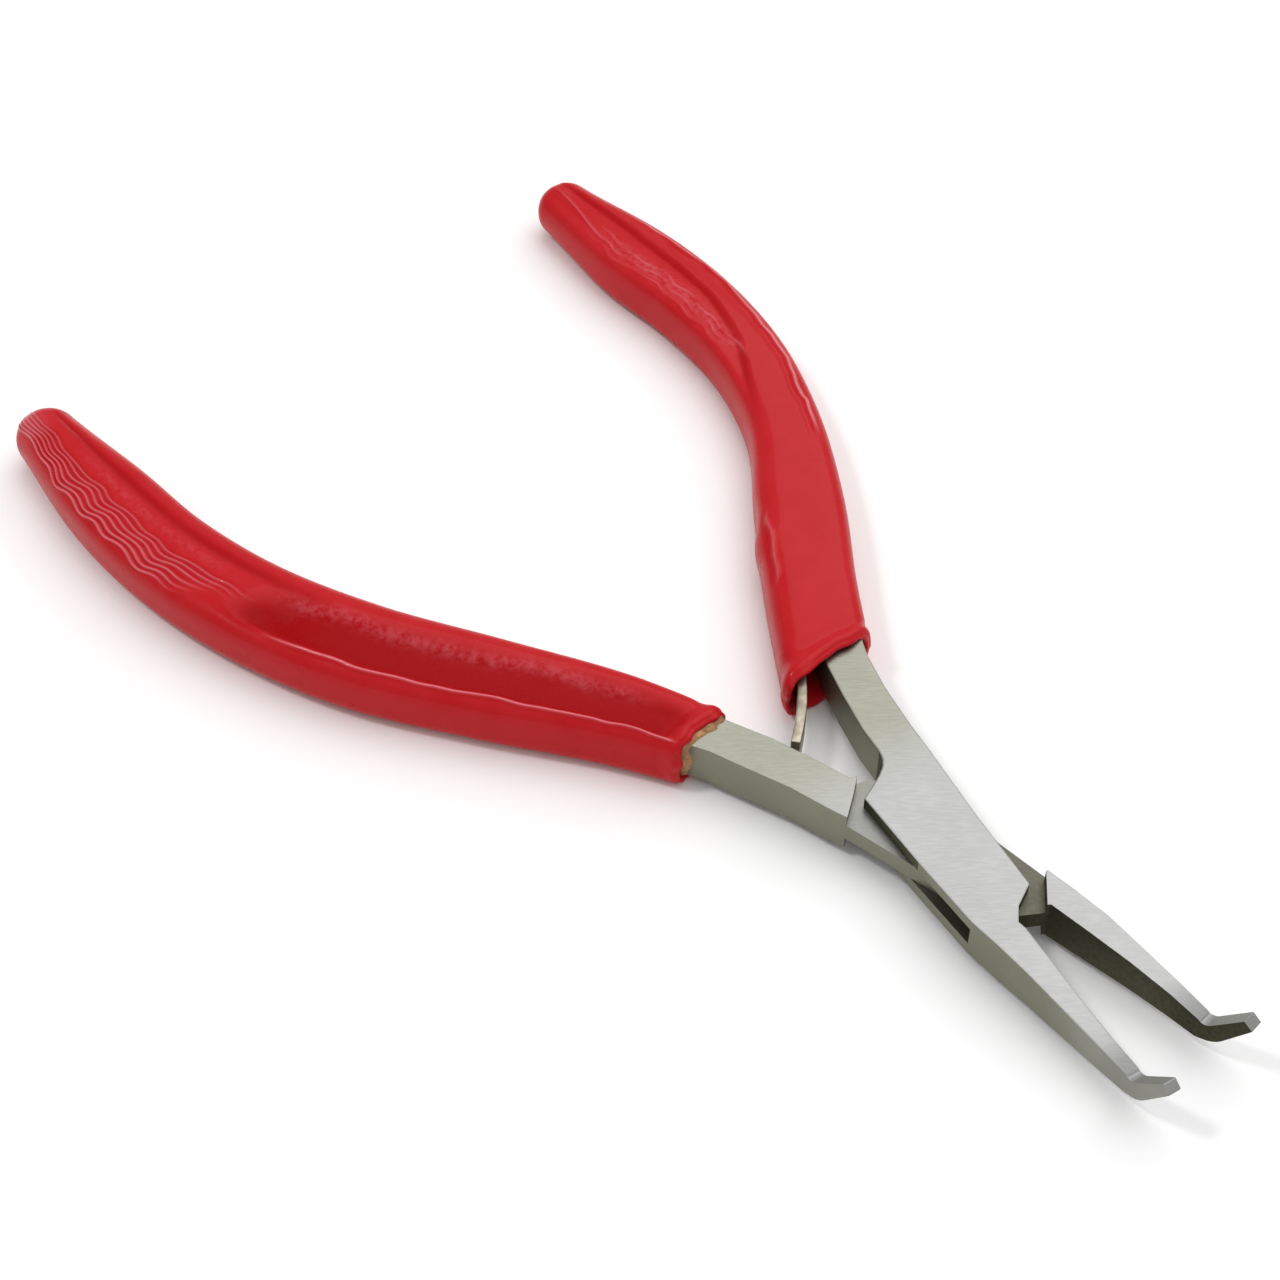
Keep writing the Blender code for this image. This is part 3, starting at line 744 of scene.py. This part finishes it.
def makeSleeve(name, side, shape, displace):
    share = np.arange(sleeve["around"]) / sleeve["around"]
    phi = 2 * pi * share + sleeve["crowd"] * (np.cos(2 * pi * share) - 1)
    degrees = np.degrees(phi)
    degrees = np.where(degrees > 270, degrees - 360, degrees)
    above = stepUp(-35, -5, degrees) * (1 - stepUp(185, 215, degrees))
    uneven = 0.16 * np.sin(3 * phi + 1.1) + 0.10 * np.sin(7 * phi + 0.4) + 0.06 * np.sin(13 * phi)

    # the outer skin and its far end
    turns = np.radians(sleeve["endTurns"])
    t = np.concatenate([np.linspace(0, 1, sleeve["rings"]) ** 1.12, np.ones(len(turns))])
    extra = np.concatenate([np.zeros(sleeve["rings"]), turns])
    section = sleeveSection(shape, phi, t, extra)
    along = t + np.sin(extra) * sleeve["endLength"] / sleeve["length"]
    along, angle = np.meshgrid(along, degrees, indexing="ij")
    s = along * sleeve["length"]
    amount, sunkShade, crumple, paintedHighlight = displace(s, along, angle, shape)
    amount = amount * above * (np.cos(extra) ** 0.7)[:, None] * stepUp(0.0, 3.0, s)
    amount += (0.16 * hump(s, 0.9, 0.75) - 0.10 * hump(s, 2.7, 0.9)) * above
    amount -= sleeve["lipRound"] * (1 - stepUp(0.0, 0.7, s)) ** 2
    outer = sleeveRings(section, amount, uneven * (1 - stepUp(0.0, 4.0, s)))

    # the lip turns in to the hollow
    first = [values[:1] for values in section]
    lip = []
    for turn in np.radians(sleeve["lipTurns"]):
        depth = sleeve["lipRound"] + (sleeve["wall"] - 2 * sleeve["lipRound"]) * (1 - cos(turn)) / 2
        lip.append(sleeveRings(first, -depth, uneven[None] + sleeve["lipReach"] * sin(turn)))
    t = np.linspace(0.004, sleeve["pocket"], sleeve["pocketRings"])
    hollow = sleeveSection(shape, phi, t, np.zeros_like(t))
    inner = sleeveRings(hollow, -sleeve["wall"], uneven * (1 - stepUp(0, 0.05, t))[:, None])

    within = np.zeros((len(lip) + len(inner), len(phi)))
    shade = within.copy()
    # painted shade down in the hollow behind the lip
    shade[len(lip) + 2:] = sleeve["pocketShade"]
    masks = {"sunkShade": np.concatenate([(sunkShade * above)[::-1], shade])}
    for key, mask in (("crumple", crumple), ("paintedHighlight", paintedHighlight)):
        masks[key] = np.concatenate([(mask * above)[::-1], within])
    rings = np.concatenate([outer[::-1], *lip, inner])
    piece = skinMesh(name, turnToSide(rings, side), masks, redPvcLook)
    return piece


leftPiece = makeSleeve("leftSleeve", -1, leftSleeve, leftShape)
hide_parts("left_grip")
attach(leftPiece, "tongue_side")
rightPiece = makeSleeve("rightSleeve", 1, rightSleeve, rightShape)
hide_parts("right_grip")
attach(rightPiece, "box_side")
print("sleeves made")


# steel halves: copies of the frame's solids with worn edges
steelEdges = {
    "bevel": 0.16,
    "segments": 2,
    "roundness": 0.6,
    "sharp": 24,
    "creased": 22,
    "weld": 0.004,
    "boreRadius": 2.36,
    "pinRim": 2.0,
    "bendAlong": (25.5, 29.4),
    "slotAlong": (-10.5, 13.3),
    "slotHigh": (0.9, 3.5),
}
steelShadePlaces = {                   # where shade is painted on the inner faces, along a half drawn closed
    "gripFrom": 12.5,
    "cheekAlong": (-9.5, -1.0),
    "cheekFrom": 3.0,
    "hollowAlong": (-10.5, 12.9),
    "hollowHigh": (0.3, 3.9),
    "hollowHalf": 3.3,
}


def between(limits, value):
    return limits[0] < value < limits[1]


def plainCopy(node, name):
    # a welded copy of a frame node, with its flat faces whole again
    bm = bmesh.new()
    bm.from_mesh(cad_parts[node].data)
    bmesh.ops.remove_doubles(bm, verts=bm.verts, dist=steelEdges["weld"] * mm)
    bmesh.ops.dissolve_limit(bm, angle_limit=radians(1.0), verts=bm.verts, edges=bm.edges)
    mesh = bpy.data.meshes.new(name)
    bm.to_mesh(mesh)
    bm.free()
    mesh.materials.clear()
    mesh.materials.append(groundSteelLook)
    piece = bpy.data.objects.new(name, mesh)
    bpy.context.scene.collection.objects.link(piece)
    return piece


def acrossBend(a, b):
    # whether the edge from a to b runs across a tip where it bends up, and so stays smooth
    middle = (a + b) / 2
    return between(steelEdges["bendAlong"], middle.x / mm) and abs(a.y - b.y) > 0.8 * (a - b).length


def inSlot(point):
    # inside the joint, where a bevel has no room
    return between(steelEdges["slotAlong"], point.x / mm) and between(steelEdges["slotHigh"], point.z / mm)


def takesBevel(edge):
    ends = [vert.co for vert in edge.verts]
    if len(edge.link_faces) != 2 or edge.calc_face_angle(0) < radians(steelEdges["sharp"]):
        return False
    if max(point.xy.length for point in ends) < (steelEdges["boreRadius"] + 0.1) * mm:
        return False
    return not acrossBend(*ends) and not all(inSlot(point) for point in ends)


def softenEdges(piece):
    # a small bevel on the sharp edges that are open to wear, and flat shading on level faces
    bm = bmesh.new()
    bm.from_mesh(piece.data)
    edges = [edge for edge in bm.edges if takesBevel(edge)]
    bmesh.ops.bevel(bm, geom=edges, offset=steelEdges["bevel"] * mm, offset_type="OFFSET",
                    segments=steelEdges["segments"], profile=steelEdges["roundness"], affect="EDGES",
                    clamp_overlap=True)
    bmesh.ops.triangulate(bm, faces=[f for f in bm.faces if len(f.verts) > 4])
    bm.to_mesh(piece.data)
    bm.free()
    piece.data.shade_smooth()
    piece.data.set_sharp_from_angle(angle=radians(steelEdges["creased"]))
    for face in piece.data.polygons:
        face.use_smooth = abs(face.normal.z) < 0.9995
    points = [vert.co for vert in piece.data.vertices]
    for edge in piece.data.edges:
        if acrossBend(*(points[i] for i in edge.vertices)):
            edge.use_edge_sharp = False


def markPaintedShade(piece, test):
    # 1 on the inner faces where shade is painted
    faces = piece.data.polygons
    layer = piece.data.attributes.new("insideShade", "FLOAT", "FACE")
    layer.data.foreach_set("value", [float(test(face.center / mm, face.normal)) for face in faces])


def makeSteelHalf(node, name, body, side):
    piece = plainCopy(node, name)
    softenEdges(piece)
    toHalf = Matrix.Rotation(radians(handle["halfOpen"]) * side, 3, "Z")
    places = steelShadePlaces

    def insideShade(centre, normal):
        p = toHalf @ centre
        n = toHalf @ normal
        # painted shade on the jaws' gripping faces
        if p.x > places["gripFrom"] and n.y * side > 0.5:
            return True
        # the cheek's edge, in the shade over the tongue
        if side > 0 and between(places["cheekAlong"], p.x) and p.z > places["cheekFrom"] and n.y < -0.4:
            return True
        # painted shade on the walls and floors of the joint's hollows
        if not (between(places["hollowAlong"], p.x) and between(places["hollowHigh"], p.z)):
            return False
        return abs(n.z) > 0.7 or abs(n.y) > 0.5 and abs(p.y) < places["hollowHalf"]

    markPaintedShade(piece, insideShade)
    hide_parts(node)
    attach(piece, body)


makeSteelHalf("box_half", "boxSteel", "box_side", 1)
makeSteelHalf("tongue_half", "tongueSteel", "tongue_side", -1)
print("steel halves made")


def makePin():
    # ground flush with the joint, so that it fills its bore to the rim
    piece = plainCopy("pivot_pin", "steelPin")
    for vert in piece.data.vertices:
        reach = vert.co.xy.length
        if reach > steelEdges["pinRim"] * mm:
            vert.co.x *= steelEdges["boreRadius"] * mm / reach
            vert.co.y *= steelEdges["boreRadius"] * mm / reach
    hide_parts("pivot_pin")
    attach(piece, "box_side")


makePin()
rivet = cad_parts["spring_rivet"]
rivet.data.materials.clear()
rivet.data.materials.append(stripSteelLook)
print("pin and rivet made")


# the adhesive that has run out along the left sleeve's mouth
mouthGlue = {
    "reach": 0.95,                # how far it comes out past the mouth
    "high": 0.50,
    "lumps": 0.30,
    "lumpWaves": (2, 3, 5, 8, 13),
    "square": 9,
    "around": 120,
    "seed": 4,
    # places along the handle and heights of the rings, as shares of reach and high
    "rings": [(-1.6, 0.50), (-0.5, 0.90), (-0.1, 1.0), (0.25, 0.92), (0.55, 0.68), (0.80, 0.36),
              (1.0, 0.03), (1.0, -0.5), (0.5, -1.2)],
}


def glueLumps(phi):
    # about 1, lower on the underside and on the inside
    rng = np.random.default_rng(mouthGlue["seed"])
    lumps = np.ones_like(phi)
    for waves in mouthGlue["lumpWaves"]:
        height = mouthGlue["lumps"] * rng.uniform(0.3, 1.0) / waves ** 0.6
        lumps += height * np.sin(waves * phi + rng.uniform(0, 6.28))
    return lumps * np.where(np.sin(phi) > -0.5, 1.0, 0.6) * np.where(np.cos(phi) < -0.4, 0.55, 1.0)


def makeMouthGlue():
    phi = np.linspace(0, 2 * pi, mouthGlue["around"], endpoint=False)
    lumps = glueLumps(phi)
    acrossUnit, upUnit = roundedSquare(phi, mouthGlue["square"])
    middle, outward, ahead = handleFrames(0.0)
    half = handle["steelWidth"] / 2
    tall = handle["steelThick"] / 2
    rings = []
    for along, height in mouthGlue["rings"]:
        grow = mouthGlue["high"] * height * (lumps if height > 0.1 else 1.0)
        push = mouthReach(leftSleeve, acrossUnit) + mouthGlue["reach"] * along * (lumps if along > 0 else 1.0)
        flat = middle + outward * (acrossUnit * (half + grow))[:, None] + ahead * push[:, None]
        up = tall + upUnit * (tall + grow)
        rings.append(np.concatenate([flat, up[:, None]], 1))
    piece = skinMesh("mouthGlue", turnToSide(np.array(rings), -1), {}, amberGlueLook)
    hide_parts("left_glue")
    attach(piece, "tongue_side")


makeMouthGlue()
print("adhesive made")


leaf = {"bevel": 0.10, "segments": 2, "sharp": 50, "creased": 45}


def makeLeaf():
    piece = plainCopy("return_spring", "springLeaf")
    piece.data.materials.clear()
    piece.data.materials.append(stripSteelLook)
    bm = bmesh.new()
    bm.from_mesh(piece.data)
    edges = [e for e in bm.edges if len(e.link_faces) == 2 and e.calc_face_angle(0) > radians(leaf["sharp"])]
    bmesh.ops.bevel(bm, geom=edges, offset=leaf["bevel"] * mm, segments=leaf["segments"], profile=0.5,
                    affect="EDGES", clamp_overlap=True)
    bm.to_mesh(piece.data)
    bm.free()
    piece.data.shade_smooth()
    piece.data.set_sharp_from_angle(angle=radians(leaf["creased"]))
    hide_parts("return_spring")
    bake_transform(piece)


makeLeaf()
print("spring made")
